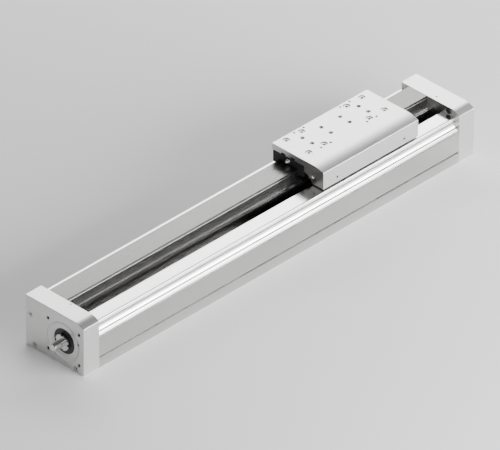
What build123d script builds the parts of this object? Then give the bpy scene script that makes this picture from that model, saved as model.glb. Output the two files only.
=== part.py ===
from build123d import *
import os
from math import cos, radians, sin

os.makedirs("parts", exist_ok=True)

# Frame: origin at the centre of the mounting face, +X from the drive end to the far end, +Z up.
# The spindle chamber and the curved shoulder lie on the -Y side. All sizes in mm.

# Overall sizes
body_width = 120.0
profile_length = 760.0
cap_length = 32.0
half_width = body_width / 2
half_profile = profile_length / 2
half_length = half_profile + cap_length

# Screws: head radius, head height, shank radius, key width, socket depth
m4_screw = (3.5, 4.0, 2.0, 3.0, 2.0)
m5_screw = (4.25, 5.0, 2.5, 4.0, 2.5)
m6_screw = (5.0, 6.0, 3.0, 5.0, 3.0)
head_bevel = 0.35
bore_play = 0.5
tight_bore_play = 0.3
shank_play = 0.3

# Spindle line and ball nut
spindle_y = -18.0
spindle_radius = 10.0
nut_body_radius = 16.5
nut_body_length = 50.0
nut_flange_radius = 24.0
nut_flange_length = 10.0
nut_bore_play = 0.05
nut_screw_circle = 20.0
nut_screw_angles = (45, 135, 225, 315)
nut_screw_grip = 6.0
nut_screw_bite = 10.0
wiper_length = 3.0
wiper_outer_radius = 13.0
wiper_play = 0.3

# Profile section
land_edge_y = -50.0
shoulder_round = 2.0
shoulder_top_step = (1.6, 4.9)
shoulder_mid_step = (4.4, 13.5)
shoulder_height = 21.7
fine_line_drop = 6.2
fine_line_width = 0.9
fine_line_depth = 0.8
sensor_groove_step = (5.4, 15.1)
sensor_groove_width = 1.9
sensor_groove_depth = 4.0
side_groove_z = 18.2
side_groove_width = 3.2
side_groove_depth = 2.0
slot_offset = 1.0
slot_width = 17.6
lip_width = 4.2
lip_drop = 1.0
chamber_side_room = 1.5
chamber_end_room = 3.0
chamber_floor = 14.5
chamber_roof = 7.0
chamber_corner = 10.0
web_thickness = 5.5
back_wall = 17.0
floor_thickness = 16.0
rail_bed = 14.0
hollow_corner = 4.0
base_thread_columns = 4
base_thread_pitch = 200.0
base_thread_inset = 80.0
base_thread_y = 52.0
base_thread_radius = 2.5
base_thread_depth = 12.0
spindle_z = chamber_floor + chamber_end_room + nut_flange_radius
land_z = spindle_z + nut_flange_radius + chamber_end_room + chamber_roof

# Guide rail
rail_y = 25.5
rail_width = 38.0
rail_height = 14.0
rail_seat_depth = 1.5
rail_edge_bevel = 0.7
rail_ball_radius = 2.0
track_drop = 3.7
track_radius = 2.08
track_centre_out = 0.9
rail_screw_pitch = 60.0
rail_screw_margin = 50.0
rail_thread_depth = 8.0
rail_bottom_z = land_z - rail_seat_depth
rail_top_z = rail_bottom_z + rail_height
track_z = rail_top_z - track_drop

# End cap outline: a flat top flush with the rail, then an arc that meets the side at a rounded edge
cap_height = rail_top_z
cap_flat_end = 17.0
cap_arc_radius = 27.0
cap_side_round = 1.0
cap_edge_bevel = 0.6

# End cap screws, each as its distance from the cap's back or front and from its foot
back_cap_screws = ((10.5, 58.0), (19.0, 8.4))
front_cap_screws = ((15.7, 6.2), (11.6, 49.9))
cap_screw_recess = 0.5
cap_screw_bite = 13.5

# Drive face
motor_thread_y = 32.0
motor_thread_z = 27.0
motor_thread_radius = 2.5
motor_thread_depth = 14.0
motor_thread_mouth = 0.8
recess_radius = 33.0
recess_floor_radius = 28.5
recess_step = 0.6
recess_depth = 2.0

# Bearing stack at the drive end
lock_ring_gap = 0.2
lock_ring_length = 4.0
lock_ring_outer_radius = 21.0
lock_ring_bore_radius = 11.3
lock_ring_pin_circle = 16.5
lock_ring_pin_radius = 1.4
lock_ring_pin_depth = 2.0
fixed_bearing_length = 17.5
fixed_bearing_outer_radius = 20.0
fixed_outer_ring_bore = 16.5
fixed_inner_ring_radius = 12.0
fixed_journal_radius = 8.5
fixed_ball_count = 9
fixed_row_half_pitch = 4.4
cap_lip_bore_radius = 16.0
bearing_ball_radius = 3.0
race_play = 0.05
cage_half_thickness = 0.75
cage_inset = 1.0
cage_play = 0.1
ball_phase = 10.0

# Lock nut
lock_nut_stand = 3.5
lock_nut_rim = 2.5
lock_nut_radius = 13.5
lock_nut_hub_radius = 10.5
lock_nut_notch_width = 5.0
lock_nut_notch_depth = 2.6
lock_nut_bevel = 0.6

# Journals
drive_journal_radius = 6.0
drive_journal_reach = 22.5
far_journal_radius = 6.0
far_journal_start = 5.0
far_journal_tail = 2.2
journal_bevel = 0.8

# Floating bearing at the far end
floating_bearing_depth = 8.0
floating_bearing_length = 10.0
floating_bearing_outer_radius = 16.0
floating_outer_ring_bore = 13.1
floating_inner_ring_radius = 8.9
floating_ball_count = 8
floating_bore_depth = 20.0
far_shaft_hole_radius = 9.0
far_shaft_hole_depth = 25.0
circlip_width = 1.0
circlip_groove_depth = 0.5
circlip_outer_radius = 8.6
circlip_gap = 3.4

# Holes in the caps' tops, each measured from its cap's inner face
cap_top_hole_y = -5.0
cap_top_hole_radius = 1.6
cap_top_hole_depth = 6.0
drive_top_hole_inset = 4.0
far_top_hole_inset = 8.0

# Buffers
buffer_y = -38.0
buffer_radius = 5.0
buffer_seat_depth = 1.8
buffer_stand = 1.2
buffer_round = 0.6
buffer_stem_radius = 2.5
buffer_stem_length = 6.0
buffer_play = 0.1

# Ball carriages
carriage_half_width = 32.3
carriage_block_length = 47.0
carriage_gap = 4.1
carriage_end_length = 10.4
carriage_seal_length = 1.6
carriage_end_inset = 1.1
carriage_play = 0.6
carriage_step = 0.5
carriage_corner_bevel = 1.2
carriage_lug_y = 9.5
carriage_lug_width = 8.0
carriage_lug_rise = 2.3
carriage_lug_play = 0.6
carriage_bolt_x = 32.6
carriage_bolt_y = 46.8
carriage_ball_pitch = 4.4
carriage_ball_count = 10
seal_lip_play = 0.3
nipple_rise = 6.0
nipple_hex = 7.0
nipple_hex_length = 2.4
nipple_ball_radius = 2.3
nipple_shank_radius = 2.4
nipple_shank_length = 5.5

# Slide plate
slide_length = 202.0
slide_far_gap = 77.0
slide_overhang = 0.2
slide_front_inset = 1.8
slide_roof_rise = 13.0
slide_thickness = 10.5
slide_flat_end = 23.2
slide_side_drop = 4.5
slide_side_round = 1.0
slide_edge_bevel = 0.5
skirt_gap = 1.8
cove_room = 0.8
cove_top_rise = 3.2
cove_mid_step = (10.0, 3.6)
slide_screw_recess = 1.4
slide_screw_bite = 9.0
slide_thread_columns = 4
thread_pitch_x = 40.0
thread_half_y = 10.0
slide_thread_radius = 2.5
slide_thread_mouth_radius = 3.6
slide_thread_mouth_depth = 2.1
deep_hole_x = (39.0, 59.0)
deep_hole_y = 28.0
deep_hole_radius = 2.0
end_screw_inset = 20.6
end_screw_rise = 2.2
end_screw_length = 14.0
end_screw_recess = 0.4
plug_inset = 29.6
plug_drop = 0.9
plug_radius = 2.0
plug_length = 5.0
plug_recess = 0.6
plug_key = 2.0
plug_key_depth = 1.5

# Nut bracket
housing_inset = 4.0
housing_half_width = 23.0
housing_half_height = 22.5
housing_corner = 8.0
neck_play = 1.2
bracket_room = 4.9
bracket_plate_thickness = 8.0
bracket_plate_reach = 25.5
bracket_screw_inset = 9.0
bracket_screw_y = 19.0
bracket_screw_grip = 3.0
bracket_screw_bite = 8.0
pocket_play = 0.2


def section(x, sketch):
    """Put a (Y, Z) sketch on the plane across the axis at x."""
    return Plane.YZ.offset(x) * sketch


def rod(x0, x1, radius, y=spindle_y, z=spindle_z):
    """Round bar along X between two places, given in either order."""
    return extrude(section(min(x0, x1), Pos(y, z) * Circle(radius)), abs(x1 - x0))


def tube(x0, x1, inner, outer, y=spindle_y, z=spindle_z):
    """Round sleeve along X."""
    return rod(x0, x1, outer, y, z) - rod(x0, x1, inner, y, z)


def box(x0, x1, y0, y1, z0, z1):
    """Box by its limits."""
    return Pos((x0 + x1) / 2, (y0 + y1) / 2, (z0 + z1) / 2) * Box(x1 - x0, y1 - y0, z1 - z0)


def drill(x, y, z, radius, depth):
    """Vertical hole going down from z."""
    return Pos(x, y, z - depth / 2) * Cylinder(radius, depth)


def edges_at(shape, x):
    """Edges of the shape's flat face at x."""
    return shape.faces().filter_by(GeomType.PLANE).sort_by_distance((x, spindle_y, spindle_z))[0].edges()


def socket_screw(size, length):
    """Socket head cap screw with its head seat at z = 0 and its shank below."""
    head_radius, head_height, shank_radius, key, socket = size
    head = Pos(0, 0, head_height / 2) * Cylinder(head_radius, head_height)
    head = chamfer(head.edges().sort_by(Axis.Z)[-1], head_bevel)
    shank = Pos(0, 0, -length / 2) * Cylinder(shank_radius, length)
    hexagon = Pos(0, 0, head_height - socket) * RegularPolygon(key / 2, 6, major_radius=False)
    return head + shank - extrude(hexagon, socket)


def facing(side):
    """Turn that points a piece's own +Z along +X or, for side -1, along -X."""
    return Rot(0, 90 * side, 0)


def save(name, shape):
    """Write one node; a list stays a group of separate solids."""
    if isinstance(shape, list):
        shape = Compound(children=shape)
    export_step(shape, f"parts/{name}.step")


# Profile outline, from the slot over the land, down the shoulder and round to the lip
slot_y = spindle_y + slot_offset
slot_front_y = slot_y - slot_width / 2
lip_edge_y = slot_y + slot_width / 2
lip_inner_y = lip_edge_y + lip_width
shoulder_top = (land_edge_y - shoulder_top_step[0], land_z - shoulder_top_step[1])
shoulder_mid = (land_edge_y - shoulder_mid_step[0], land_z - shoulder_mid_step[1])
shoulder_foot = (-half_width, land_z - shoulder_height)
seat_front_y = rail_y - rail_width / 2
seat_back_y = rail_y + rail_width / 2
land_line = Polyline((slot_front_y, land_z), (land_edge_y, land_z), shoulder_top)
shoulder = ThreePointArc(shoulder_top, shoulder_mid, shoulder_foot)
body_line = Polyline(
    shoulder_foot, (-half_width, 0), (half_width, 0), (half_width, land_z), (seat_back_y, land_z),
    (seat_back_y, rail_bottom_z), (seat_front_y, rail_bottom_z), (seat_front_y, land_z),
    (lip_inner_y, land_z), (lip_edge_y, land_z - lip_drop), (lip_edge_y, spindle_z),
    (slot_front_y, spindle_z), (slot_front_y, land_z))
outline = make_face(Curve() + [land_line, shoulder, body_line])
outline = fillet(outline.vertices().sort_by_distance((land_edge_y, land_z))[0], shoulder_round)

# Spindle chamber, hollow under the rail bed, and grooves
chamber_half_width = nut_flange_radius + chamber_side_room
chamber_half_height = nut_flange_radius + chamber_end_room
chamber = Pos(spindle_y, spindle_z) * RectangleRounded(
    2 * chamber_half_width, 2 * chamber_half_height, chamber_corner)
hollow_front_y = spindle_y + chamber_half_width + web_thickness
hollow_back_y = half_width - back_wall
hollow_top_z = rail_bottom_z - rail_bed
hollow_middle = Pos((hollow_front_y + hollow_back_y) / 2, (floor_thickness + hollow_top_z) / 2)
hollow = hollow_middle * RectangleRounded(
    hollow_back_y - hollow_front_y, hollow_top_z - floor_thickness, hollow_corner)
fine_line = Pos(shoulder_top[0], land_z - fine_line_drop) * Rectangle(2 * fine_line_depth, fine_line_width)
sensor_groove = Pos(land_edge_y - sensor_groove_step[0], land_z - sensor_groove_step[1]) * Rectangle(
    2 * sensor_groove_depth, sensor_groove_width)
side_grooves = [Pos(side * half_width, side_groove_z) * Rectangle(2 * side_groove_depth, side_groove_width)
                for side in (-1, 1)]
profile_section = outline - chamber - hollow - fine_line - sensor_groove - side_grooves
profile = extrude(section(-half_profile, profile_section), profile_length)

rail_screw_count = 1 + int((profile_length - 2 * rail_screw_margin) / rail_screw_pitch)
rail_screw_x = [(i - (rail_screw_count - 1) / 2) * rail_screw_pitch for i in range(rail_screw_count)]
for x in rail_screw_x:
    profile -= drill(x, rail_y, rail_bottom_z, m5_screw[2], rail_bed)
    profile -= drill(x, rail_y, floor_thickness, m5_screw[0] + bore_play, floor_thickness)
for i in range(base_thread_columns):
    for y in (-base_thread_y, base_thread_y):
        x = half_profile - base_thread_inset - i * base_thread_pitch
        profile -= drill(x, y, base_thread_depth, base_thread_radius, base_thread_depth)
cap_screw_yz = [(half_width - inset, z) for inset, z in back_cap_screws]
cap_screw_yz += [(inset - half_width, z) for inset, z in front_cap_screws]
for y, z in cap_screw_yz:
    for side in (-1, 1):
        end_x = side * half_profile
        profile -= rod(end_x, end_x - side * cap_screw_bite, m5_screw[2], y, z)
save("profile", profile)

# Guide rail
rail_shape = Pos(rail_y, (rail_bottom_z + rail_top_z) / 2) * Rectangle(rail_width, rail_top_z - rail_bottom_z)
rail_shape = chamfer(rail_shape.vertices().group_by(Axis.Y)[-1], rail_edge_bevel)
track_y = [rail_y + side * (rail_width / 2 + track_centre_out) for side in (-1, 1)]
rail_shape -= [Pos(y, track_z) * Circle(track_radius) for y in track_y]
guide_rail = extrude(section(-half_profile, rail_shape), profile_length)
for x in rail_screw_x:
    guide_rail -= drill(x, rail_y, rail_bottom_z + rail_thread_depth, m5_screw[2], rail_thread_depth)
save("guide_rail", guide_rail)

rail_screw = Rot(180, 0, 0) * socket_screw(m5_screw, rail_bed + rail_thread_depth)
save("rail_screws", [Pos(x, rail_y, hollow_top_z) * rail_screw for x in rail_screw_x])

# End caps
cap_flat_end_y = cap_flat_end - half_width
cap_arc_centre_z = cap_height - cap_arc_radius


def cap_arc_z(reach):
    """Height of the cap's arc at a distance beyond the flat top."""
    return cap_arc_centre_z + (cap_arc_radius ** 2 - reach ** 2) ** 0.5


cap_side_top = (-half_width, cap_arc_z(cap_flat_end))
cap_arc = ThreePointArc((cap_flat_end_y, cap_height),
                        (cap_flat_end_y - cap_flat_end / 2, cap_arc_z(cap_flat_end / 2)), cap_side_top)
cap_outline = make_face(Curve() + [cap_arc, Polyline(
    cap_side_top, (-half_width, 0), (half_width, 0), (half_width, cap_height), (cap_flat_end_y, cap_height))])
cap_outline = fillet(cap_outline.vertices().sort_by_distance(cap_side_top)[0], cap_side_round)
cap_seat_x = half_length - cap_screw_recess - m5_screw[1]
buffer_z = (land_z + cap_height) / 2


def cap_block(side, top_hole_inset):
    """Cap body at one end with its bevelled rim, screw bores, buffer seat and top hole."""
    inner_x, outer_x = side * half_profile, side * half_length
    block = extrude(section(min(inner_x, outer_x), cap_outline), cap_length)
    block = chamfer(edges_at(block, outer_x), cap_edge_bevel)
    for y, z in cap_screw_yz:
        block -= rod(outer_x, side * cap_seat_x, m5_screw[0] + tight_bore_play, y, z)
        block -= rod(outer_x, inner_x, m5_screw[2], y, z)
    seat_x = inner_x + side * buffer_seat_depth
    block -= rod(inner_x, seat_x, buffer_radius + buffer_play, buffer_y, buffer_z)
    block -= rod(seat_x, seat_x + side * buffer_stem_length, buffer_stem_radius, buffer_y, buffer_z)
    return block - drill(inner_x + side * top_hole_inset, cap_top_hole_y, cap_height,
                         cap_top_hole_radius, cap_top_hole_depth)


drive_face_x = -half_length
lock_ring_x0 = drive_face_x + recess_depth + lock_ring_gap
fixed_x0 = lock_ring_x0 + lock_ring_length
fixed_x1 = fixed_x0 + fixed_bearing_length
recess_cone = facing(-1) * Cone(recess_floor_radius, recess_radius, recess_depth - recess_step)
drive_end_cap = cap_block(-1, drive_top_hole_inset)
drive_end_cap -= rod(drive_face_x, drive_face_x + recess_step, recess_radius)
drive_end_cap -= Pos(drive_face_x + (recess_step + recess_depth) / 2, spindle_y, spindle_z) * recess_cone
drive_end_cap -= rod(drive_face_x, fixed_x0, lock_ring_outer_radius)
drive_end_cap -= rod(drive_face_x, fixed_x1, fixed_bearing_outer_radius)
drive_end_cap -= rod(drive_face_x, -half_profile, cap_lip_bore_radius)
thread_mouth = facing(-1) * Cone(
    motor_thread_radius, motor_thread_radius + motor_thread_mouth, motor_thread_mouth)
for y in (spindle_y - motor_thread_y, spindle_y + motor_thread_y):
    for z in (spindle_z - motor_thread_z, spindle_z + motor_thread_z):
        drive_end_cap -= rod(drive_face_x, drive_face_x + motor_thread_depth, motor_thread_radius, y, z)
        drive_end_cap -= Pos(drive_face_x + motor_thread_mouth / 2, y, z) * thread_mouth
save("drive_end_cap", drive_end_cap)

far_end_cap = cap_block(1, far_top_hole_inset)
far_end_cap -= rod(half_profile, half_profile + floating_bore_depth, floating_bearing_outer_radius)
far_end_cap -= rod(half_profile, half_profile + far_shaft_hole_depth, far_shaft_hole_radius)
save("far_end_cap", far_end_cap)

cap_screw = socket_screw(m5_screw, cap_seat_x - half_profile + cap_screw_bite)
for name, side in (("drive_cap_screws", -1), ("far_cap_screws", 1)):
    save(name, [Pos(side * cap_seat_x, y, z) * facing(side) * cap_screw for y, z in cap_screw_yz])

# Buffers
for name, side in (("drive_buffer", -1), ("far_buffer", 1)):
    seat_x = side * (half_profile + buffer_seat_depth)
    front_x = side * (half_profile - buffer_stand)
    buffer = rod(seat_x, front_x, buffer_radius, buffer_y, buffer_z)
    buffer = fillet(edges_at(buffer, front_x), buffer_round)
    stem = rod(seat_x, seat_x + side * buffer_stem_length, buffer_stem_radius, buffer_y, buffer_z)
    save(name, buffer + stem)


# Bearings
def ball_ring(x, pitch_radius, radius, count):
    """Balls evenly spaced round the spindle line."""
    turns = [radians(360 * i / count + ball_phase) for i in range(count)]
    return [Pos(x, spindle_y + pitch_radius * cos(a), spindle_z + pitch_radius * sin(a)) * Sphere(radius)
            for a in turns]


def bearing(name, x0, x1, bore, inner_top, outer_bore, outer, rows, count):
    """Outer ring, inner ring, balls and cage of a ball bearing."""
    pitch = (inner_top + outer_bore) / 2
    inner_ring = tube(x0, x1, bore, inner_top)
    outer_ring = tube(x0, x1, outer_bore, outer)
    cage = tube(x0 + cage_inset, x1 - cage_inset, pitch - cage_half_thickness, pitch + cage_half_thickness)
    balls = []
    for x in rows:
        groove = Pos(x, spindle_y, spindle_z) * (facing(1) * Torus(pitch, bearing_ball_radius + race_play))
        inner_ring -= groove
        outer_ring -= groove
        balls += ball_ring(x, pitch, bearing_ball_radius, count)
        for pocket in ball_ring(x, pitch, bearing_ball_radius + cage_play, count):
            cage -= pocket
    save(f"{name}_outer_ring", outer_ring)
    save(f"{name}_inner_ring", inner_ring)
    save(f"{name}_balls", balls)
    save(f"{name}_cage", cage)


fixed_mid_x = (fixed_x0 + fixed_x1) / 2
bearing("fixed_bearing", fixed_x0, fixed_x1, fixed_journal_radius, fixed_inner_ring_radius,
        fixed_outer_ring_bore, fixed_bearing_outer_radius,
        (fixed_mid_x - fixed_row_half_pitch, fixed_mid_x + fixed_row_half_pitch), fixed_ball_count)

floating_x0 = half_profile + floating_bearing_depth
floating_x1 = floating_x0 + floating_bearing_length
bearing("floating_bearing", floating_x0, floating_x1, far_journal_radius, floating_inner_ring_radius,
        floating_outer_ring_bore, floating_bearing_outer_radius,
        ((floating_x0 + floating_x1) / 2,), floating_ball_count)

lock_ring = tube(lock_ring_x0, fixed_x0, lock_ring_bore_radius, lock_ring_outer_radius)
for side in (-1, 1):
    lock_ring -= rod(lock_ring_x0, lock_ring_x0 + lock_ring_pin_depth, lock_ring_pin_radius,
                     z=spindle_z + side * lock_ring_pin_circle)
save("lock_ring", lock_ring)

# Lock nut
lock_nut_x0 = drive_face_x - lock_nut_stand
lock_nut_x1 = lock_nut_x0 + lock_nut_rim
lock_nut = rod(lock_nut_x0, lock_nut_x1, lock_nut_radius)
lock_nut = chamfer(lock_nut.edges().filter_by(GeomType.CIRCLE), lock_nut_bevel)
lock_nut += rod(lock_nut_x1, fixed_x0, lock_nut_hub_radius)
lock_nut -= rod(lock_nut_x0, fixed_x0, fixed_journal_radius)
for turn in (0, 90, 180, 270):
    notch = Pos(lock_nut_radius, 0) * Rectangle(2 * lock_nut_notch_depth, lock_nut_notch_width)
    turned_notch = Pos(spindle_y, spindle_z) * Rot(0, 0, turn) * notch
    lock_nut -= extrude(section(lock_nut_x0, turned_notch), lock_nut_rim)
save("lock_nut", lock_nut)

# Spindle
tip_x = drive_face_x - drive_journal_reach
far_journal_x = half_profile + far_journal_start
circlip_x1 = floating_x1 + circlip_width
tail_x = circlip_x1 + far_journal_tail
circlip_bore_radius = far_journal_radius - circlip_groove_depth
drive_journal = rod(tip_x, lock_nut_x0, drive_journal_radius)
drive_journal = chamfer(edges_at(drive_journal, tip_x), journal_bevel)
far_journal = rod(far_journal_x, tail_x, far_journal_radius)
far_journal = chamfer(edges_at(far_journal, tail_x), journal_bevel)
ball_screw = rod(lock_nut_x0, fixed_x1, fixed_journal_radius)
ball_screw += [drive_journal, rod(fixed_x1, far_journal_x, spindle_radius), far_journal]
ball_screw -= tube(floating_x1, circlip_x1, circlip_bore_radius, circlip_outer_radius)
save("ball_screw", ball_screw)

circlip = tube(floating_x1, circlip_x1, circlip_bore_radius, circlip_outer_radius)
circlip -= box(floating_x1, circlip_x1, spindle_y - circlip_gap / 2, spindle_y + circlip_gap / 2,
               spindle_z - circlip_outer_radius, spindle_z)
save("circlip", circlip)

# Slide plate outline: curved top, skirt, cove over the slot, flat underside on the carriages
half_slide = slide_length / 2
slide_x = half_profile - slide_far_gap - half_slide
slide_x0, slide_x1 = slide_x - half_slide, slide_x + half_slide
slide_roof_z = rail_top_z + slide_roof_rise
slide_top_z = slide_roof_z + slide_thickness
slide_front_y = land_edge_y + slide_front_inset
slide_back_y = rail_y + carriage_half_width + slide_overhang
slide_flat_end_y = slide_front_y + slide_flat_end
slide_side_top = (slide_front_y, slide_top_z - slide_side_drop)
slide_arc_radius = (slide_flat_end ** 2 + slide_side_drop ** 2) / (2 * slide_side_drop)
slide_arc_mid = (slide_flat_end_y - slide_flat_end / 2,
                 slide_top_z - slide_arc_radius + (slide_arc_radius ** 2 - slide_flat_end ** 2 / 4) ** 0.5)
neck_half_width = slot_width / 2 - neck_play
neck_front_y, neck_back_y = slot_y - neck_half_width, slot_y + neck_half_width
skirt_inner_y = neck_front_y - pocket_play
skirt_bottom_z = land_z + skirt_gap
cove_top = (rail_y - carriage_half_width - cove_room, rail_top_z + cove_top_rise)
cove_mid = (cove_top[0] - cove_mid_step[0], cove_top[1] - cove_mid_step[1])
slide_outline = make_face(Curve() + [
    ThreePointArc((slide_flat_end_y, slide_top_z), slide_arc_mid, slide_side_top),
    Polyline(slide_side_top, (slide_front_y, skirt_bottom_z), (skirt_inner_y, skirt_bottom_z)),
    ThreePointArc((skirt_inner_y, skirt_bottom_z), cove_mid, cove_top),
    Polyline(cove_top, (cove_top[0], slide_roof_z), (slide_back_y, slide_roof_z),
             (slide_back_y, slide_top_z), (slide_flat_end_y, slide_top_z))])
slide_outline = fillet(slide_outline.vertices().sort_by_distance(slide_side_top)[0], slide_side_round)
slide_plate = extrude(section(slide_x0, slide_outline), slide_length)
slide_plate = chamfer(edges_at(slide_plate, slide_x0) + edges_at(slide_plate, slide_x1), slide_edge_bevel)

# Pockets over the nut bracket and over the lugs of the carriages' end caps
half_block = carriage_block_length / 2
end_outer = half_block + carriage_end_length
seal_outer = end_outer + carriage_seal_length
carriage_offset = half_slide - carriage_end_inset - seal_outer
carriage_x = (slide_x - carriage_offset, slide_x + carriage_offset)
bracket_half_length = carriage_offset - seal_outer - bracket_room
bracket_x0, bracket_x1 = slide_x - bracket_half_length, slide_x + bracket_half_length
slide_plate -= box(bracket_x0 - pocket_play, bracket_x1 + pocket_play, skirt_inner_y, slide_back_y,
                   skirt_bottom_z, slide_roof_z)
lug_y = [rail_y + side * carriage_lug_y for side in (-1, 1)]
lug_pocket_reach = carriage_end_inset + carriage_seal_length + carriage_end_length + carriage_lug_play
for centre_x in carriage_x:
    for x in (centre_x - half_block - lug_pocket_reach / 2, centre_x + half_block + lug_pocket_reach / 2):
        for y in lug_y:
            slide_plate -= Pos(x, y, slide_roof_z) * Box(
                lug_pocket_reach, carriage_lug_width + 2 * carriage_lug_play,
                2 * (carriage_lug_rise + carriage_lug_play))

# Holes of the slide plate
slide_screw_at = [(x + sx * carriage_bolt_x / 2, rail_y + sy * carriage_bolt_y / 2)
                  for x in carriage_x for sx in (-1, 1) for sy in (-1, 1)]
slide_seat_z = slide_top_z - slide_screw_recess - m6_screw[1]
for x, y in slide_screw_at:
    slide_plate -= drill(x, y, slide_top_z, m6_screw[0] + bore_play, slide_top_z - slide_seat_z)
    slide_plate -= drill(x, y, slide_top_z, m6_screw[2] + shank_play, slide_thickness)
for i in range(slide_thread_columns):
    for side in (-1, 1):
        x = slide_x + (i - (slide_thread_columns - 1) / 2) * thread_pitch_x
        y = rail_y + side * thread_half_y
        slide_plate -= drill(x, y, slide_top_z, slide_thread_radius, slide_thickness)
        slide_plate -= drill(x, y, slide_top_z, slide_thread_mouth_radius, slide_thread_mouth_depth)
for offset in deep_hole_x:
    for x in (slide_x - offset, slide_x + offset):
        for y in (rail_y - deep_hole_y, rail_y + deep_hole_y):
            slide_plate -= drill(x, y, slide_top_z, deep_hole_radius, slide_thickness)
bracket_screw_at = [(x, rail_y + side * bracket_screw_y)
                    for x in (bracket_x0 + bracket_screw_inset, bracket_x1 - bracket_screw_inset)
                    for side in (-1, 1)]
for x, y in bracket_screw_at:
    slide_plate -= drill(x, y, slide_roof_z + bracket_screw_bite, m5_screw[2], bracket_screw_bite)
end_seat = half_slide - end_screw_recess - m6_screw[1]
end_screw_y, end_screw_z = slide_front_y + end_screw_inset, rail_top_z + end_screw_rise
plug_x, plug_z = half_slide - plug_inset, rail_top_z - plug_drop
for side in (-1, 1):
    face_x, seat_x = slide_x + side * half_slide, slide_x + side * end_seat
    slide_plate -= rod(face_x, seat_x, m6_screw[0] + bore_play, end_screw_y, end_screw_z)
    slide_plate -= rod(seat_x, seat_x - side * end_screw_length, m6_screw[2], end_screw_y, end_screw_z)
    plug_bore = Rot(90, 0, 0) * Cylinder(plug_radius, 2 * (plug_recess + plug_length))
    slide_plate -= Pos(slide_x + side * plug_x, slide_front_y, plug_z) * plug_bore
save("slide_plate", slide_plate)

slide_screw = socket_screw(m6_screw, slide_seat_z - slide_roof_z + slide_screw_bite)
save("slide_screws", [Pos(x, y, slide_seat_z) * slide_screw for x, y in slide_screw_at])
end_screw = socket_screw(m6_screw, end_screw_length)
save("slide_end_screws", [Pos(slide_x + side * end_seat, end_screw_y, end_screw_z) * facing(side) * end_screw
                          for side in (-1, 1)])
plug_socket = extrude(Pos(0, 0, -plug_key_depth) * RegularPolygon(plug_key / 2, 6, major_radius=False),
                      plug_key_depth)
plug = Rot(90, 0, 0) * (Pos(0, 0, -plug_length / 2) * Cylinder(plug_radius, plug_length) - plug_socket)
save("lube_plugs", [Pos(slide_x + side * plug_x, slide_front_y + plug_recess, plug_z) * plug
                    for side in (-1, 1)])


# Ball carriages
def saddle(half_width_here, top_z, gap, track):
    """Carriage outline round the guide rail; a track smaller than the rail's reaches into its groove."""
    bottom_z, room_top_z = land_z + carriage_gap, rail_top_z + gap
    body = Pos(rail_y, (bottom_z + top_z) / 2) * Rectangle(2 * half_width_here, top_z - bottom_z)
    body = chamfer(body.vertices(), carriage_corner_bevel)
    room = Pos(rail_y, (bottom_z + room_top_z) / 2) * Rectangle(rail_width + 2 * gap, room_top_z - bottom_z)
    circles = [Pos(y, track_z) * Circle(track) for y in track_y]
    return body - (room - circles if track < track_radius else room + circles)


block_outline = saddle(carriage_half_width - carriage_step, slide_roof_z, carriage_play, track_radius)
end_outline = saddle(carriage_half_width, slide_roof_z - carriage_step, carriage_play, track_radius)
seal_outline = saddle(carriage_half_width - carriage_step, slide_roof_z - 2 * carriage_step,
                      seal_lip_play, track_radius - seal_lip_play)
for name, centre_x in (("drive_carriage_block", carriage_x[0]), ("far_carriage_block", carriage_x[1])):
    block = extrude(section(centre_x - half_block, block_outline), carriage_block_length)
    for x, y in slide_screw_at:
        if abs(x - centre_x) < half_block:
            block -= drill(x, y, slide_roof_z, m6_screw[2], slide_screw_bite)
    save(name, block)

nipple_x = (carriage_x[0] - seal_outer, carriage_x[1] + seal_outer)
nipple_z = rail_top_z + nipple_rise
nipple_bores = [rod(x - nipple_shank_length, x + nipple_shank_length, nipple_shank_radius, rail_y, nipple_z)
                for x in nipple_x]
end_caps, end_seals = [], []
for centre_x in carriage_x:
    for cap_x in (centre_x - end_outer, centre_x + half_block):
        end_cap = extrude(section(cap_x, end_outline), carriage_end_length) - nipple_bores
        for y in lug_y:
            end_cap += box(cap_x, cap_x + carriage_end_length,
                           y - carriage_lug_width / 2, y + carriage_lug_width / 2,
                           slide_roof_z - 2 * carriage_step, slide_roof_z + carriage_lug_rise)
        end_caps.append(end_cap)
    for seal_x in (centre_x - seal_outer, centre_x + end_outer):
        end_seals.append(extrude(section(seal_x, seal_outline), carriage_seal_length) - nipple_bores)
save("carriage_end_caps", end_caps)
save("carriage_end_seals", end_seals)

ball_x = [(i - (carriage_ball_count - 1) / 2) * carriage_ball_pitch for i in range(carriage_ball_count)]
save("carriage_balls", [Pos(centre_x + x, y, track_z) * Sphere(rail_ball_radius)
                        for centre_x in carriage_x for y in track_y for x in ball_x])

nipple = extrude(RegularPolygon(nipple_hex / 2, 6, major_radius=False), nipple_hex_length)
nipple += Pos(0, 0, -nipple_shank_length / 2) * Cylinder(nipple_shank_radius, nipple_shank_length)
nipple += Pos(0, 0, nipple_hex_length + nipple_ball_radius / 2) * Sphere(nipple_ball_radius)
save("grease_nipples", [Pos(x, rail_y, nipple_z) * facing(side) * nipple
                        for x, side in zip(nipple_x, (-1, 1))])

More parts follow.
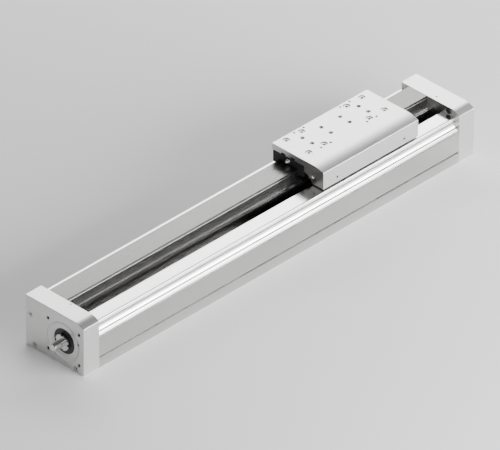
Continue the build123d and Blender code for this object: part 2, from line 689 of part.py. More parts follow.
# Ball nut
housing_x0 = bracket_x0
housing_x1 = bracket_x1 - housing_inset
nut_x0 = housing_x0 - nut_flange_length
nut_x1 = housing_x0 + nut_body_length
ball_nut = rod(nut_x0, housing_x0, nut_flange_radius) + rod(housing_x0, nut_x1, nut_body_radius)
ball_nut -= rod(nut_x0, nut_x1, spindle_radius + nut_bore_play)
wiper_x = (nut_x0, nut_x1 - wiper_length)
for x in wiper_x:
    ball_nut -= rod(x, x + wiper_length, wiper_outer_radius)
nut_seat_x = housing_x0 - nut_screw_grip
nut_screw_at = [(spindle_y + nut_screw_circle * cos(radians(a)),
                 spindle_z + nut_screw_circle * sin(radians(a))) for a in nut_screw_angles]
for y, z in nut_screw_at:
    ball_nut -= rod(nut_x0, nut_seat_x, m4_screw[0] + tight_bore_play, y, z)
    ball_nut -= rod(nut_seat_x, housing_x0, m4_screw[2], y, z)
save("ball_nut", ball_nut)
save("nut_wipers", [tube(x, x + wiper_length, spindle_radius + wiper_play, wiper_outer_radius)
                    for x in wiper_x])
nut_screw = facing(-1) * socket_screw(m4_screw, nut_screw_grip + nut_screw_bite)
save("nut_screws", [Pos(nut_seat_x, y, z) * nut_screw for y, z in nut_screw_at])

# Nut bracket: housing round the nut, neck through the slot, plate under the slide
plate_bottom_z = slide_roof_z - bracket_plate_thickness
nut_bracket = extrude(section(housing_x0, Pos(spindle_y, spindle_z) * RectangleRounded(
    2 * housing_half_width, 2 * housing_half_height, housing_corner)), housing_x1 - housing_x0)
nut_bracket += box(housing_x0, housing_x1, neck_front_y, neck_back_y, spindle_z, slide_roof_z)
nut_bracket += box(bracket_x0, bracket_x1, neck_front_y, rail_y + bracket_plate_reach,
                   plate_bottom_z, slide_roof_z)
nut_bracket -= rod(housing_x0, housing_x1, nut_body_radius)
for y, z in nut_screw_at:
    nut_bracket -= rod(housing_x0, housing_x0 + nut_screw_bite, m4_screw[2], y, z)
bracket_seat_z = slide_roof_z - bracket_screw_grip
for x, y in bracket_screw_at:
    nut_bracket -= drill(x, y, bracket_seat_z, m5_screw[0] + tight_bore_play, bracket_seat_z - plate_bottom_z)
    nut_bracket -= drill(x, y, slide_roof_z, m5_screw[2], bracket_plate_thickness)
save("nut_bracket", nut_bracket)
bracket_screw = Rot(180, 0, 0) * socket_screw(m5_screw, bracket_screw_grip + bracket_screw_bite)
save("bracket_screws", [Pos(x, y, bracket_seat_z) * bracket_screw for x, y in bracket_screw_at])
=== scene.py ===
"""Ball screw linear axis: finishes, detailed pieces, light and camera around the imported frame."""
import math

import bmesh
import bpy
from bpy.props import FloatProperty, FloatVectorProperty, IntProperty, PointerProperty, StringProperty
from mathutils import Matrix, Vector


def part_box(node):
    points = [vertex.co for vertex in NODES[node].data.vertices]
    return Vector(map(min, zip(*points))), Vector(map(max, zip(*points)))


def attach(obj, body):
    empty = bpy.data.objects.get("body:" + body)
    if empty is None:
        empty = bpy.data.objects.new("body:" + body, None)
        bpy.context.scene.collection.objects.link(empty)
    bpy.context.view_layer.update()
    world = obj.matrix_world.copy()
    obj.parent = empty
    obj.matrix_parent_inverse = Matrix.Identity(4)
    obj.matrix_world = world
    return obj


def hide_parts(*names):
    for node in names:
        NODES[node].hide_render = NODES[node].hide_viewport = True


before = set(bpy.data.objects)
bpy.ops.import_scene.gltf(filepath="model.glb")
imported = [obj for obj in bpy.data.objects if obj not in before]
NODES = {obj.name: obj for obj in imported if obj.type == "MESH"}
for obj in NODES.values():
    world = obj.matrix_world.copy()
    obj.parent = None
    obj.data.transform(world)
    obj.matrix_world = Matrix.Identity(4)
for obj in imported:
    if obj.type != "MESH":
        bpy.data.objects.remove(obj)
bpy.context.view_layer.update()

bl_info = {
    "name": "Ball screw linear axis",
    "version": (1, 0, 0),
    "blender": (4, 5, 0),
    "location": "View3D > Sidebar > Linear Axis",
    "description": "Finishes and fine pieces of a ball screw linear axis",
    "category": "Object",
}

MM = 0.001
FULL_TURN = 2 * math.pi
WELD_DISTANCE = 0.001 * MM


# Settings

class AxisFinishSettings(bpy.types.PropertyGroup):
    """Colours of the finishes."""
    drawn: StringProperty(name="Drawn aluminium", default="#C2C1C0", description="sRGB hex colour")
    blasted: StringProperty(name="Blasted aluminium", default="#D2D1D0", description="sRGB hex colour")
    # Painted shade: the threads' colour is near black to stand in for the shade inside the tapped holes,
    # not for a colour of the metal.
    thread_painted_shade: StringProperty(name="Threads, painted shade", default="#2C2D2F", description="sRGB hex colour")
    rail_steel: StringProperty(name="Rail steel", default="#60605F", description="sRGB hex colour")
    bright_steel: StringProperty(name="Bright steel", default="#CDCCCB", description="sRGB hex colour")
    black_plastic: StringProperty(name="Black plastic", default="#222326", description="sRGB hex colour")
    rubber: StringProperty(name="Rubber", default="#1B1B1C", description="sRGB hex colour")
    black_oxide: StringProperty(name="Black oxide steel", default="#2A2A2D", description="sRGB hex colour")
    zinc: StringProperty(name="Zinc plating", default="#D9D9D4", description="sRGB hex colour")
    floor: StringProperty(name="Floor", default="#FFFFFF", description="sRGB hex colour")


class AxisSpindleSettings(bpy.types.PropertyGroup):
    """Sizes of the spindle's ball track."""
    lead: FloatProperty(name="Lead", default=10 * MM, unit="LENGTH", description="Travel in one turn")
    track_radius: FloatProperty(name="Track radius", default=1.65 * MM, unit="LENGTH",
                                description="Radius of the ball track's section")
    track_half_width: FloatProperty(name="Track half width", default=1.5 * MM, unit="LENGTH",
                                    description="Half of the track's width at the surface")
    rings_per_lead: IntProperty(name="Rings per lead", default=14, description="Mesh rings along one lead")


class AxisThreadSettings(bpy.types.PropertyGroup):
    """Sizes of the tapped holes' threads."""
    pitch: FloatProperty(name="Pitch", default=0.8 * MM, unit="LENGTH", description="Advance in one turn")
    depth: FloatProperty(name="Depth", default=0.4 * MM, unit="LENGTH",
                         description="Height of a thread's ridge")
    gap: FloatProperty(name="Gap", default=0.02 * MM, unit="LENGTH",
                       description="Ridge foot inside the bore wall")


class AxisCameraSettings(bpy.types.PropertyGroup):
    """Where the camera stands and how it looks."""
    azimuth: FloatProperty(name="Azimuth", default=math.radians(-45.584), subtype="ANGLE",
                           description="Turn of the view about the vertical")
    elevation: FloatProperty(name="Elevation", default=math.radians(34.116), subtype="ANGLE",
                             description="Height of the view above the horizon")
    roll: FloatProperty(name="Roll", default=math.radians(0.1736), subtype="ANGLE",
                        description="Turn of the picture about the view's centre")
    distance: FloatProperty(name="Distance", default=18.95207, unit="LENGTH",
                            description="From target to camera")
    target: FloatVectorProperty(name="Target", default=(-0.104285, -0.097385, 0.137083),
                                subtype="TRANSLATION", description="Point at the picture's centre")
    lens: FloatProperty(name="Lens", default=930.3, unit="CAMERA", description="Focal length")


class AxisLightSettings(bpy.types.PropertyGroup):
    """Strengths of the studio lights."""
    world: FloatProperty(name="World", default=0.05, description="Strength of the dim surroundings")
    far: FloatProperty(name="Far card", default=27.0, description="Power in watts")
    far_top: FloatProperty(name="Far card's top", default=30.0, description="Power in watts")
    low: FloatProperty(name="Low card", default=100.0, description="Power in watts")
    low_top: FloatProperty(name="Low card's top", default=85.0, description="Power in watts")
    end: FloatProperty(name="End softbox", default=50.0, description="Power in watts")
    fill: FloatProperty(name="Fill softbox", default=11.0, description="Power in watts")
    back: FloatProperty(name="Back card", default=5.0, description="Power in watts")
    top: FloatProperty(name="Top softbox", default=7.0, description="Power in watts")


# Meshes

def piece(name, vertices, faces, body, nodes, material, sharp_angle=30):
    """One piece that stands for its nodes and rides on its body. Its sharp angle is in degrees."""
    mesh = bpy.data.meshes.new(name)
    mesh.from_pydata(vertices, [], faces)
    mesh.validate()
    shape = bmesh.new()
    shape.from_mesh(mesh)
    bmesh.ops.recalc_face_normals(shape, faces=shape.faces)
    shape.to_mesh(mesh)
    shape.free()
    mesh.shade_smooth()
    mesh.set_sharp_from_angle(angle=math.radians(sharp_angle))
    mesh.materials.append(material)
    made = bpy.data.objects.new(name, mesh)
    bpy.context.scene.collection.objects.link(made)
    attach(made, body)
    if nodes:
        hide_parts(*nodes)


def loft(rings, first_vertex=0):
    """Vertices and faces of a closed skin through rings of equal count, with a flat cap at each end."""
    count = len(rings[0])
    vertices = [point for ring in rings for point in ring]
    faces = [(first_vertex + i * count + j, first_vertex + i * count + (j + 1) % count,
              first_vertex + (i + 1) * count + (j + 1) % count, first_vertex + (i + 1) * count + j)
             for i in range(len(rings) - 1) for j in range(count)]
    faces.append(tuple(first_vertex + j for j in range(count)))
    faces.append(tuple(first_vertex + (len(rings) - 1) * count + j for j in range(count)))
    return vertices, faces


def circle_ring(radius, height, count):
    """Round ring across local Z."""
    angles = [FULL_TURN * i / count for i in range(count)]
    return [Vector((radius * math.cos(a), radius * math.sin(a), height)) for a in angles]


def hexagon_ring(across, height, count):
    """Six-sided ring across local Z, with as many points as a round one."""
    ring = []
    for i in range(count):
        angle = FULL_TURN * i / count
        off_flat = (angle + math.pi / 6) % (math.pi / 3) - math.pi / 6
        reach = across / 2 / math.cos(off_flat)
        ring.append(Vector((reach * math.cos(angle), reach * math.sin(angle), height)))
    return ring


def solids_of(node):
    """Lowest and highest corner of each separate solid in a CAD node."""
    shape = bmesh.new()
    shape.from_mesh(NODES[node].data)
    bmesh.ops.remove_doubles(shape, verts=shape.verts, dist=WELD_DISTANCE)
    left, boxes = set(shape.verts), []
    while left:
        spots, found = [], [left.pop()]
        while found:
            vertex = found.pop()
            spots.append(vertex.co)
            for edge in vertex.link_edges:
                other = edge.other_vert(vertex)
                if other in left:
                    left.discard(other)
                    found.append(other)
        boxes.append((Vector(min(p[i] for p in spots) for i in range(3)),
                      Vector(max(p[i] for p in spots) for i in range(3))))
    shape.free()
    # in the order of their low corners, to a hundredth of a millimetre, so that it is the same in each run
    return sorted(boxes, key=lambda box: tuple(round(c, 5) for c in box[0]))


def turn_to(direction):
    """Rotation that takes local Z to a direction."""
    return Vector(direction).to_track_quat("Z", "X").to_matrix().to_4x4()


# Finishes

# Sockets of a Mix node that mixes colours: its inputs A and B, and its result.
COLOUR_A, COLOUR_B, COLOUR_RESULT = 6, 7, 2


def linear(hex_colour):
    """sRGB hex to linear RGBA."""
    parts = [int(hex_colour[i:i + 2], 16) / 255 for i in (1, 3, 5)]
    return [c / 12.92 if c <= 0.04045 else ((c + 0.055) / 1.055) ** 2.4 for c in parts] + [1.0]


def add(tree, kind, settings=None, links=None):
    """Add a node, set its properties or sockets, and link its inputs."""
    node = tree.nodes.new(kind)
    for key, value in (settings or {}).items():
        if isinstance(key, str) and hasattr(node, key):
            setattr(node, key, value)
        else:
            node.inputs[key].default_value = value
    for key, source in (links or {}).items():
        tree.links.new(source, node.inputs[key])
    return node


def finish(name, hex_colour, metallic, roughness, grain_mm, stretch=(1, 1, 1), spread=0.06, bump=0.02,
           tone=0.04, **shader):
    """A surface with fine grain, which varies its roughness and tone a little and gives a slight bump.

    Grain and bump are in millimetres. The real grain of these surfaces is roughly 0.01 to 0.1 mm wide, too
    fine to show in the render, so it is drawn as coarse as it needs to show. A stretch below 1 draws the
    grain out along that axis.
    """
    material = bpy.data.materials.new(name)
    material.use_nodes = True
    tree = material.node_tree
    surface = tree.nodes["Principled BSDF"]
    surface.inputs["Metallic"].default_value = metallic
    for key, value in shader.items():
        surface.inputs[key.replace("_", " ")].default_value = value
    place = add(tree, "ShaderNodeTexCoord")
    scaled = add(tree, "ShaderNodeMapping", {"Scale": stretch}, {"Vector": place.outputs["Object"]})
    grain = add(tree, "ShaderNodeTexNoise", {"Scale": 1 / (grain_mm * MM), "Detail": 3.0, "Roughness": 0.6},
                {"Vector": scaled.outputs["Vector"]})
    base = linear(hex_colour)
    dark = [c * (1 - tone) for c in base[:3]] + [1.0]
    light = [min(1.0, c * (1 + tone)) for c in base[:3]] + [1.0]
    colour = add(tree, "ShaderNodeMix", {"data_type": "RGBA"}, {"Factor": grain.outputs["Fac"]})
    colour.inputs[COLOUR_A].default_value, colour.inputs[COLOUR_B].default_value = dark, light
    tree.links.new(colour.outputs[COLOUR_RESULT], surface.inputs["Base Color"])
    # nearly all of the noise lies between 0.3 and 0.7
    limits = {"From Min": 0.3, "From Max": 0.7, "To Min": roughness - spread, "To Max": roughness + spread}
    rough = add(tree, "ShaderNodeMapRange", limits, {"Value": grain.outputs["Fac"]})
    tree.links.new(rough.outputs["Result"], surface.inputs["Roughness"])
    relief = add(tree, "ShaderNodeBump", {"Strength": 1.0, "Distance": bump * MM},
                 {"Height": grain.outputs["Fac"]})
    tree.links.new(relief.outputs["Normal"], surface.inputs["Normal"])
    return material


FINISHES = {}


def make_finishes(colours):
    """All finishes of the axis, by their plain names."""
    along = (0.02, 1, 1)
    table = (
        # Extruded, then clear anodised: a satin grey sheen with faint lines along the profile.
        ("drawn anodised aluminium", colours.drawn, 1.0, 0.2, 0.9,
         {"stretch": along, "spread": 0.05, "bump": 0.006}),
        # Milled, blasted and clear anodised: an even, soft grey with no direction.
        ("blasted anodised aluminium", colours.blasted, 1.0, 0.36, 0.6, {"spread": 0.04, "bump": 0.003}),
        # Cut by a tap: its flanks face each other, so a thread looks dark from outside. That shade is
        # painted into its colour, which is far darker than the aluminium it is cut in.
        ("thread aluminium with painted shade", colours.thread_painted_shade, 0.6, 0.5, 0.4, {"bump": 0.01}),
        # Milled and left bare: brighter, with fine cutter marks across.
        ("milled aluminium", colours.blasted, 1.0, 0.34, 0.7, {"stretch": (1, 0.05, 1), "bump": 0.01}),
        # Hardened and ground along its length: darker than aluminium, with hair-fine lines.
        ("ground rail steel", colours.rail_steel, 1.0, 0.27, 0.5,
         {"stretch": along, "spread": 0.04, "bump": 0.002}),
        # Turned and ground all round: bright with fine rings.
        ("turned steel", colours.bright_steel, 1.0, 0.22, 0.5, {"stretch": (1, 0.1, 0.1), "bump": 0.004}),
        # Lapped: a clear mirror.
        ("lapped bearing steel", colours.bright_steel, 1.0, 0.08, 0.4,
         {"spread": 0.02, "bump": 0.001, "tone": 0.02}),
        # Ground along the carriage: grey satin.
        ("ground carriage steel", colours.bright_steel, 1.0, 0.28, 0.6, {"stretch": along}),
        # Cold headed and lightly oiled: dull steel.
        ("headed screw steel", colours.bright_steel, 1.0, 0.33, 0.5, {"bump": 0.01}),
        # Blackened: dark with a dull oily sheen.
        ("black oxide steel", colours.black_oxide, 0.2, 0.38, 0.5, {"bump": 0.01}),
        # Zinc plated: bright and slightly warm.
        ("zinc plated steel", colours.zinc, 1.0, 0.32, 0.4, {"spread": 0.04, "bump": 0.0006}),
        # Injection moulded: black, with a soft sheen from a fine mould grain.
        ("moulded acetal", colours.black_plastic, 0.0, 0.45, 0.4, {"bump": 0.02, "IOR": 1.48}),
        # Moulded rubber: deep black and matte.
        ("nitrile rubber", colours.rubber, 0.0, 0.65, 0.5, {"bump": 0.02, "IOR": 1.52}),
        # Moulded cages and wipers: dark grey and dull.
        ("moulded polyamide", colours.black_plastic, 0.0, 0.5, 0.4, {"bump": 0.02, "IOR": 1.53}),
    )
    for name, hex_colour, metallic, roughness, grain_mm, details in table:
        FINISHES[name] = finish(name, hex_colour, metallic, roughness, grain_mm, **details)


def dress(finish_name, *nodes):
    """Give CAD nodes a finish."""
    for node in nodes:
        for slot in NODES[node].material_slots:
            slot.material = FINISHES[finish_name]


# Operators

class AxisOperator(bpy.types.Operator):
    """What all operators of the axis share: each can be undone."""
    bl_options = {"REGISTER", "UNDO"}


class AXIS_OT_finishes(AxisOperator):
    """Materials of all pieces"""
    bl_idname = "axis.finishes"
    bl_label = "Finishes"

    def execute(self, context):
        make_finishes(context.scene.axis_finishes)
        return {"FINISHED"}


class AXIS_OT_body(AxisOperator):
    """Finish of the extruded body"""
    bl_idname = "axis.body"
    bl_label = "Body Profile"

    def execute(self, context):
        dress("drawn anodised aluminium", "profile")
        return {"FINISHED"}


class AXIS_OT_end_caps(AxisOperator):
    """Finish of both end caps"""
    bl_idname = "axis.end_caps"
    bl_label = "End Caps"

    def execute(self, context):
        dress("blasted anodised aluminium", "drive_end_cap", "far_end_cap")
        return {"FINISHED"}


class AXIS_OT_rail(AxisOperator):
    """Finish of the guide rail"""
    bl_idname = "axis.rail"
    bl_label = "Guide Rail"

    def execute(self, context):
        dress("ground rail steel", "guide_rail")
        return {"FINISHED"}


class AXIS_OT_slide(AxisOperator):
    """Finish of the slide plate and its plugs"""
    bl_idname = "axis.slide"
    bl_label = "Slide Plate"

    def execute(self, context):
        dress("blasted anodised aluminium", "slide_plate")
        dress("black oxide steel", "lube_plugs")
        return {"FINISHED"}


class AXIS_OT_carriages(AxisOperator):
    """Finishes of the two ball carriages"""
    bl_idname = "axis.carriages"
    bl_label = "Ball Carriages"

    def execute(self, context):
        dress("ground carriage steel", "drive_carriage_block", "far_carriage_block")
        dress("moulded acetal", "carriage_end_caps")
        dress("nitrile rubber", "carriage_end_seals")
        dress("lapped bearing steel", "carriage_balls")
        return {"FINISHED"}


class AXIS_OT_bearings(AxisOperator):
    """Finishes of the spindle bearings and what holds them"""
    bl_idname = "axis.bearings"
    bl_label = "Spindle Bearings"

    def execute(self, context):
        for bearing in ("fixed_bearing", "floating_bearing"):
            dress("lapped bearing steel", f"{bearing}_outer_ring", f"{bearing}_inner_ring",
                  f"{bearing}_balls")
            dress("moulded polyamide", f"{bearing}_cage")
        dress("black oxide steel", "lock_ring", "circlip")
        dress("turned steel", "lock_nut")
        return {"FINISHED"}


class AXIS_OT_nut(AxisOperator):
    """Finishes of the ball nut and its bracket"""
    bl_idname = "axis.nut"
    bl_label = "Ball Nut"

    def execute(self, context):
        dress("turned steel", "ball_nut")
        dress("moulded polyamide", "nut_wipers")
        dress("milled aluminium", "nut_bracket")
        return {"FINISHED"}


class AXIS_OT_buffers(AxisOperator):
    """Finish of the end buffers"""
    bl_idname = "axis.buffers"
    bl_label = "Buffers"

    def execute(self, context):
        dress("nitrile rubber", "drive_buffer", "far_buffer")
        return {"FINISHED"}


class AXIS_OT_spindle(AxisOperator):
    """Spindle with its rolled ball track and plain journals"""
    bl_idname = "axis.spindle"
    bl_label = "Spindle"

    def execute(self, context):
        sizes = context.scene.axis_spindle
        low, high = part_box("ball_screw")
        y, z = (low[1] + high[1]) / 2, (low[2] + high[2]) / 2
        radius = (high[1] - low[1]) / 2
        bearing_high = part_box("fixed_bearing_inner_ring")[1]
        nut_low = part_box("lock_nut")[0]
        floating_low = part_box("floating_bearing_inner_ring")[0]
        journal_radius, seat_radius = 6 * MM, 8.5 * MM
        bevel, run_out, far_step = 0.8 * MM, 4 * MM, 3 * MM
        track_start, track_end = bearing_high[0], floating_low[0] - far_step
        count = 40
        rings = []

        def plain(x, r):
            rings.append([Vector((x, y + p.x, z + p.y)) for p in circle_ring(r, 0, count)])

        def track(x):
            fade = min(1.0, (x - track_start) / run_out, (track_end - x) / run_out)
            ball_centre = math.sqrt(sizes.track_radius ** 2 - sizes.track_half_width ** 2)
            ring = []
            for i in range(count):
                angle = FULL_TURN * i / count
                along = (x - sizes.lead * i / count) % sizes.lead - sizes.lead / 2
                cut = 0.0
                if abs(along) < sizes.track_half_width:
                    cut = math.sqrt(sizes.track_radius ** 2 - along ** 2) - ball_centre
                r = radius - cut * max(0.0, fade)
                ring.append(Vector((x, y + r * math.cos(angle), z + r * math.sin(angle))))
            rings.append(ring)

        plain(low[0], journal_radius - bevel)
        plain(low[0] + bevel, journal_radius)
        plain(nut_low[0], journal_radius)
        plain(nut_low[0], seat_radius)
        plain(track_start, seat_radius)
        steps = int((track_end - track_start) / sizes.lead * sizes.rings_per_lead)
        for i in range(steps + 1):
            track(track_start + (track_end - track_start) * i / steps)
        plain(track_end, journal_radius)
        plain(high[0] - bevel, journal_radius)
        plain(high[0], journal_radius - bevel)
        vertices, faces = loft(rings)
        piece("spindle", vertices, faces, "screw", ["ball_screw"], FINISHES["turned steel"],
              sharp_angle=35)
        return {"FINISHED"}


class AXIS_OT_screws(AxisOperator):
    """Socket head screws with knurled heads and six-sided sockets"""
    bl_idname = "axis.screws"
    bl_label = "Socket Screws"

    # head height, key width, socket depth and shank radius by head radius, in mm
    sizes = {3.5: (4.0, 3.0, 2.0, 2.0), 4.25: (5.0, 4.0, 2.5, 2.5), 5.0: (6.0, 5.0, 3.0, 3.0)}
    # where the heads look, or None for away from the slide's middle, and the body that holds the screws
    heads_up = {"slide_screws": ((0, 0, 1), "carriage"), "slide_end_screws": (None, "carriage"),
                "drive_cap_screws": ((-1, 0, 0), "base"), "far_cap_screws": ((1, 0, 0), "base"),
                "rail_screws": ((0, 0, -1), "base"), "nut_screws": ((-1, 0, 0), "carriage"),
                "bracket_screws": ((0, 0, -1), "carriage")}

    def rings(self, head_radius, length):
        """Rings of one screw along local Z with its head's seat at zero."""
        height, key, socket, shank = self.sizes[head_radius]
        count, bevel, knurl, drill_point, point_end = 48, 0.35, 0.09, 0.5, 0.05

        def ridged(z, r):
            ring = circle_ring(r, z, count)
            return [p if i % 2 else Vector((p.x * (1 - knurl / r), p.y * (1 - knurl / r), z))
                    for i, p in enumerate(ring)]

        rings = [circle_ring(shank - bevel, -length, count), circle_ring(shank, -length + bevel, count),
                 circle_ring(shank, 0, count), circle_ring(head_radius - bevel, 0, count),
                 circle_ring(head_radius, bevel, count), ridged(2 * bevel, head_radius),
                 ridged(height - 3 * bevel, head_radius),
                 circle_ring(head_radius, height - 2 * bevel, count),
                 circle_ring(head_radius - bevel / 2, height - bevel / 2, count),
                 circle_ring(head_radius - 1.5 * bevel, height, count),
                 hexagon_ring(key + bevel, height, count), hexagon_ring(key, height - bevel, count),
                 hexagon_ring(key, height - socket, count),
                 circle_ring(key / 4, height - socket - drill_point / 2, count),
                 circle_ring(point_end, height - socket - drill_point, count)]
        return [[p * MM for p in ring] for ring in rings]

    def execute(self, context):
        middle = Vector(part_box("slide_plate")[0]).lerp(Vector(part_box("slide_plate")[1]), 0.5)
        for node, (axis, body) in self.heads_up.items():
            vertices, faces = [], []
            for low, high in solids_of(node):
                centre = (low + high) / 2
                out = Vector(axis or (math.copysign(1, centre.x - middle.x), 0, 0))
                half_width = (high.y - low.y) / MM / 2
                head_radius = min(self.sizes, key=lambda r: abs(r - half_width))
                along = abs((high - low).dot(out))
                height = self.sizes[head_radius][0]
                seat = centre + out * (along / 2 - height * MM)
                place = Matrix.Translation(seat) @ turn_to(out)
                rings = [[place @ p for p in ring] for ring in self.rings(head_radius, along / MM - height)]
                more, new_faces = loft(rings, len(vertices))
                vertices += more
                faces += new_faces
            piece(f"fine_{node}", vertices, faces, body, [node],
                  FINISHES["headed screw steel"], sharp_angle=25)
        return {"FINISHED"}


class AXIS_OT_nipples(AxisOperator):
    """Grease nipples with a six-sided foot, a neck and a ball head"""
    bl_idname = "axis.nipples"
    bl_label = "Grease Nipples"

    # radius and distance from the face that the nipple sits on, in mm, of the neck and of the small mouth
    neck = ((2.9, 2.4), (2.5, 2.7), (1.7, 2.8), (1.6, 2.9))
    mouth = ((0.75, 5.75), (0.6, 5.4), (0.1, 5.3))
    # radius and centre of the ball head in mm, and where its arc starts and ends in degrees
    ball, ball_height = 2.2, 4.2
    arc_start, arc_end, arc_steps = -43, 70, 24

    def outline(self):
        """Radius and height of the turned part: neck, ball head in fine steps, and mouth."""
        arc = [math.radians(self.arc_start + (self.arc_end - self.arc_start) * i / self.arc_steps)
               for i in range(self.arc_steps + 1)]
        head = [(self.ball * math.cos(a), self.ball_height + self.ball * math.sin(a)) for a in arc]
        return [*self.neck, *head, *self.mouth]

    def execute(self, context):
        count, hex_across, hex_length, shank, shank_length, bevel = 48, 7.0, 2.4, 2.4, 5.5, 0.3
        nipples = solids_of("grease_nipples")
        middle = sum((high.x + low.x) / 2 for low, high in nipples) / len(nipples)
        vertices, faces = [], []
        for low, high in nipples:
            centre = (low + high) / 2
            side = math.copysign(1, centre.x - middle)
            face_x = (low.x if side > 0 else high.x) + side * shank_length * MM
            rings = [circle_ring(shank - bevel, -shank_length, count),
                     circle_ring(shank, -shank_length + bevel, count), circle_ring(shank, 0, count),
                     hexagon_ring(hex_across - 0.5, 0.02, count), hexagon_ring(hex_across, bevel, count),
                     hexagon_ring(hex_across, hex_length - 0.4, count),
                     circle_ring(hex_across / 2 - 0.1, hex_length, count)]
            rings += [circle_ring(r, h, count) for r, h in self.outline()]
            place = Matrix.Translation((face_x, centre.y, centre.z)) @ turn_to((side, 0, 0))
            more, new_faces = loft([[place @ (p * MM) for p in ring] for ring in rings], len(vertices))
            vertices += more
            faces += new_faces
        piece("fine_grease_nipples", vertices, faces, "carriage", ["grease_nipples"],
              FINISHES["zinc plated steel"])
        return {"FINISHED"}


class AXIS_OT_threads(AxisOperator):
    """Threads inside the tapped holes"""
    bl_idname = "axis.threads"
    bl_label = "Tapped Threads"

    # half widths of a ridge's foot and tip as shares of the pitch, and steps in one turn
    foot_share, tip_share, steps = 0.42, 0.06, 20

    def ridge(self, sizes, mouth, inward, bore, length, first_vertex):
        """Helical ridge that goes into a hole from its mouth."""
        place = Matrix.Translation(mouth) @ turn_to(inward)
        total = int(length / sizes.pitch * self.steps)
        vertices, faces = [], []
        for i in range(total + 1):
            angle = FULL_TURN * i / self.steps
            depth = sizes.pitch * i / self.steps + sizes.pitch / 2
            swell = min(1.0, i / self.steps, (total - i) / self.steps)
            foot = bore - sizes.gap
            tip = foot - sizes.depth * swell
            for r, shift in ((foot, -self.foot_share), (tip, -self.tip_share), (tip, self.tip_share),
                             (foot, self.foot_share)):
                spot = Vector((r * math.cos(angle), r * math.sin(angle), depth + shift * sizes.pitch))
                vertices.append(place @ spot)
        for i in range(total):
            for j in range(4):
                a, b = first_vertex + 4 * i + j, first_vertex + 4 * i + (j + 1) % 4
                faces.append((a, b, b + 4, a + 4))
        faces.append(tuple(first_vertex + j for j in range(4)))
        faces.append(tuple(first_vertex + 4 * total + j for j in range(4)))
        return vertices, faces

    def execute(self, context):
        sizes = context.scene.axis_threads
        slide_low, slide_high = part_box("slide_plate")
        rail_low, rail_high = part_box("guide_rail")
        cap_low, cap_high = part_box("drive_end_cap")
        far_cap_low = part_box("far_end_cap")[0]
        screw_low, screw_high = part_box("ball_screw")
        slide_x, rail_y = (slide_low[0] + slide_high[0]) / 2, (rail_low[1] + rail_high[1]) / 2
        spindle_y, spindle_z = (screw_low[1] + screw_high[1]) / 2, (screw_low[2] + screw_high[2]) / 2
        # places in mm: from the slide's middle, the caps' faces, the foot's middle and the spindle
        slide_pitch, slide_side, slide_sink = 40, 10, 2.1
        pin_places, pin_side = (39, 59), 28
        drive_hole, far_hole, cap_side = 4, 8, -5
        foot_places, foot_side, foot_sink = (100, 300), 52, 0.3
        motor_side, motor_rise, motor_sink = 32, 27, 0.8
        top_sink = 0.2
        # body, slot, way in, bore radius and depth in mm, and the holes' mouths
        # Each group lines its holes with thread ridges in the dark thread finish, which is painted shade,
        # in the small pin and cap holes too.
        groups = {
            "slide_threads": ("carriage", "anodised_slide", (0, 0, -1), 2.5, 9.0,
                              [(slide_x + (i - 1.5) * slide_pitch * MM, rail_y + side * slide_side * MM,
                                slide_high[2] - slide_sink * MM) for i in range(4) for side in (-1, 1)]),
            "pin_threads": ("carriage", "anodised_slide", (0, 0, -1), 2.0, 6.0,
                            [(slide_x + sx * x * MM, rail_y + sy * pin_side * MM,
                              slide_high[2] - top_sink * MM)
                             for x in pin_places for sx in (-1, 1) for sy in (-1, 1)]),
            "cap_threads": ("base", "anodised_caps", (0, 0, -1), 1.6, 5.0,
                            [(x, cap_side * MM, cap_high[2] - top_sink * MM)
                             for x in (cap_high[0] - drive_hole * MM, far_cap_low[0] + far_hole * MM)]),
            "foot_threads": ("base", "anodised_body", (0, 0, 1), 2.5, 10.0,
                             [(sx * x * MM, sy * foot_side * MM, foot_sink * MM)
                              for x in foot_places for sx in (-1, 1) for sy in (-1, 1)]),
            "motor_threads": ("base", "anodised_caps", (1, 0, 0), 2.5, 12.0,
                              [(cap_low[0] + motor_sink * MM, spindle_y + sy * motor_side * MM,
                                spindle_z + sz * motor_rise * MM) for sy in (-1, 1) for sz in (-1, 1)]),
        }
        for name, (body, slot, inward, bore, length, mouths) in groups.items():
            vertices, faces = [], []
            for mouth in mouths:
                more, new_faces = self.ridge(sizes, mouth, inward, bore * MM, length * MM, len(vertices))
                vertices += more
                faces += new_faces
            # The ridges take the dark thread finish: painted shade inside the holes.
            piece(name, vertices, faces, body, [], FINISHES["thread aluminium with painted shade"])
        return {"FINISHED"}


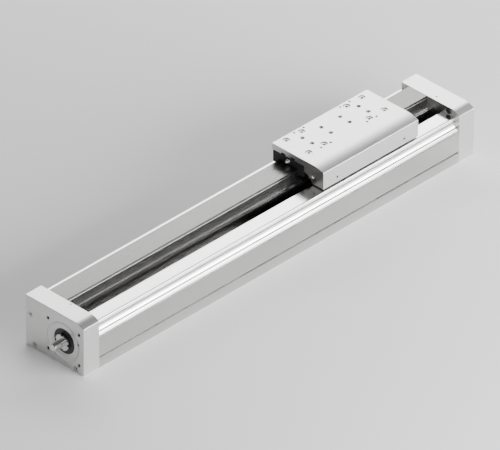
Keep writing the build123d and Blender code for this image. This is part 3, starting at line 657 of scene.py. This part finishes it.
class AXIS_OT_stage(AxisOperator):
    """Pale floor, studio light and camera"""
    bl_idname = "axis.stage"
    bl_label = "Stage"

    def softbox(self, scene, name, spot, aim, width, height, power):
        """Rectangular area light at a spot, aimed at a point."""
        light = bpy.data.lights.new(name, "AREA")
        light.shape, light.size, light.size_y, light.energy = "RECTANGLE", width, height, power
        lamp = bpy.data.objects.new(name, light)
        lamp.location = spot
        lamp.rotation_euler = (Vector(aim) - Vector(spot)).to_track_quat("-Z", "Y").to_euler()
        scene.collection.objects.link(lamp)

    def camera(self, scene, view):
        """Camera that looks at its target from the set turn, height and distance."""
        a, e = view.azimuth, view.elevation
        back = Vector((math.sin(a) * math.cos(e), -math.cos(a) * math.cos(e), math.sin(e)))
        right = Vector((math.cos(a), math.sin(a), 0))
        up = back.cross(right)
        c, s = math.cos(view.roll), math.sin(view.roll)
        level = (c * right + s * up, c * up - s * right, back)
        lens = bpy.data.cameras.new("camera")
        lens.sensor_width, lens.lens, lens.clip_end = 36, view.lens, 100
        camera = bpy.data.objects.new("camera", lens)
        camera.rotation_mode = "QUATERNION"
        camera.rotation_quaternion = Matrix(level).transposed().to_quaternion()
        camera.location = Vector(view.target) + back * view.distance
        scene.collection.objects.link(camera)
        scene.camera = camera

    def execute(self, context):
        scene, lights = context.scene, context.scene.axis_lights
        half = 12.0
        corners = [(-half, -half, 0), (half, -half, 0), (half, half, 0), (-half, half, 0)]
        mesh = bpy.data.meshes.new("floor")
        mesh.from_pydata(corners, [], [(0, 1, 2, 3)])
        # Matte studio paper: pale and even, with no sheen.
        mesh.materials.append(finish("studio paper", scene.axis_finishes.floor, 0.0, 0.9, 3.0, tone=0.01,
                                     bump=0.0, Specular_IOR_Level=0.0))
        floor = bpy.data.objects.new("floor", mesh)
        scene.collection.objects.link(floor)
        world = bpy.data.worlds.new("studio")
        world.use_nodes = True
        background = world.node_tree.nodes["Background"]
        background.inputs["Color"].default_value = (1, 1, 1, 1)
        background.inputs["Strength"].default_value = lights.world
        scene.world = world
        centre = (0, 0, 0)
        # name, place, aim, width and height in metres, and power
        for name, spot, aim, width, height, power in (
                ("far_card", (1.72, 1.69, 1.0), centre, 2.2, 1.0, lights.far),
                ("far_card_top", (1.50, 1.47, 1.53), centre, 2.2, 0.5, lights.far_top),
                ("low_card", (0.7, -1.95, 0.2), (0.7, 0, 0.2), 2.6, 0.4, lights.low),
                ("low_card_top", (0.7, -1.95, 0.85), (0.7, 0, 0.85), 2.6, 0.75, lights.low_top),
                ("end_softbox", (4.6, -0.4, 3.0), centre, 2.4, 1.6, lights.end),
                ("fill_softbox", (-2.1, -2.1, 1.8), centre, 1.6, 1.2, lights.fill),
                ("back_card", (-1.77, 1.74, 1.68), centre, 2.0, 1.4, lights.back),
                ("top_softbox", (-0.9, 0.5, 3.2), centre, 2.4, 2.4, lights.top)):
            self.softbox(scene, name, spot, aim, width, height, power)
        self.camera(scene, scene.axis_camera)
        return {"FINISHED"}


# Panel and registration

OPERATORS = (
    AXIS_OT_finishes, AXIS_OT_body, AXIS_OT_end_caps, AXIS_OT_rail, AXIS_OT_slide, AXIS_OT_carriages,
    AXIS_OT_bearings, AXIS_OT_nut, AXIS_OT_buffers, AXIS_OT_spindle, AXIS_OT_screws, AXIS_OT_nipples,
    AXIS_OT_threads, AXIS_OT_stage)
SETTINGS = {"axis_finishes": AxisFinishSettings, "axis_spindle": AxisSpindleSettings,
            "axis_threads": AxisThreadSettings, "axis_camera": AxisCameraSettings,
            "axis_lights": AxisLightSettings}


class VIEW3D_PT_linear_axis(bpy.types.Panel):
    """Lists the pieces of the axis"""
    bl_label = "Linear Axis"
    bl_idname = "VIEW3D_PT_linear_axis"
    bl_space_type = "VIEW_3D"
    bl_region_type = "UI"
    bl_category = "Linear Axis"

    def draw(self, context):
        for operator in OPERATORS:
            self.layout.operator(operator.bl_idname)
        for name, settings in SETTINGS.items():
            box = self.layout.box()
            for key in settings.__annotations__:
                box.prop(getattr(context.scene, name), key)


def register():
    """Register the classes and hang the settings on the scene."""
    for settings in SETTINGS.values():
        bpy.utils.register_class(settings)
    for operator in OPERATORS:
        bpy.utils.register_class(operator)
    bpy.utils.register_class(VIEW3D_PT_linear_axis)
    for name, settings in SETTINGS.items():
        setattr(bpy.types.Scene, name, PointerProperty(type=settings))


def unregister():
    """Take the settings and classes away again."""
    for name in SETTINGS:
        delattr(bpy.types.Scene, name)
    bpy.utils.unregister_class(VIEW3D_PT_linear_axis)
    for operator in reversed(OPERATORS):
        bpy.utils.unregister_class(operator)
    for settings in reversed(list(SETTINGS.values())):
        bpy.utils.unregister_class(settings)


def main():
    """Make the whole axis."""
    register()
    for operator in OPERATORS:
        group, name = operator.bl_idname.split(".")
        getattr(getattr(bpy.ops, group), name)()


if __name__ == "__main__":
    main()
